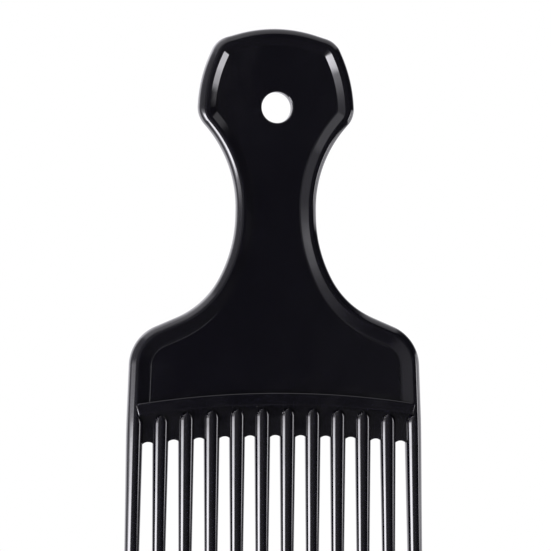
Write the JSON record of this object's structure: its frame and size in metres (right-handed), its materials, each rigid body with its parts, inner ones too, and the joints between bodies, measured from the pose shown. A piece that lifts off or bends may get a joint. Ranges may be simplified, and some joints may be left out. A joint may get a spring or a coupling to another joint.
{
  "type": "afro pick",
  "caption": "Flat hand pick for curly hair: waisted handle with a raised edge bead and a hanging hole, arched bar, and long parallel tapering teeth.",
  "frame": {"origin": "centre of the hang hole, at mid thickness", "axes": "+Z along the pick's length with the handle up and the teeth down, X across its width, +Y out of its back; the front faces -Y"},
  "size_m": [0.069, 0.0056, 0.1702],
  "materials": {
    "black_plastic": "polished injection-moulded polystyrene, deep black with a faint orange peel"
  },
  "bodies": {
    "root": {"head_panel": "black_plastic", "grip_panel": "black_plastic", "head_rim": "black_plastic", "left_rim": "black_plastic", "right_rim": "black_plastic", "comb_bar": "black_plastic", "web_01": "black_plastic", "web_02": "black_plastic", "web_03": "black_plastic", "web_04": "black_plastic", "web_05": "black_plastic", "web_06": "black_plastic", "web_07": "black_plastic", "web_08": "black_plastic", "web_09": "black_plastic", "web_10": "black_plastic", "web_11": "black_plastic", "tooth_01": "black_plastic", "tooth_02": "black_plastic", "tooth_03": "black_plastic", "tooth_04": "black_plastic", "tooth_05": "black_plastic", "tooth_06": "black_plastic", "tooth_07": "black_plastic", "tooth_08": "black_plastic", "tooth_09": "black_plastic", "tooth_10": "black_plastic", "tooth_11": "black_plastic", "tooth_12": "black_plastic"}
  },
  "joints": []
}
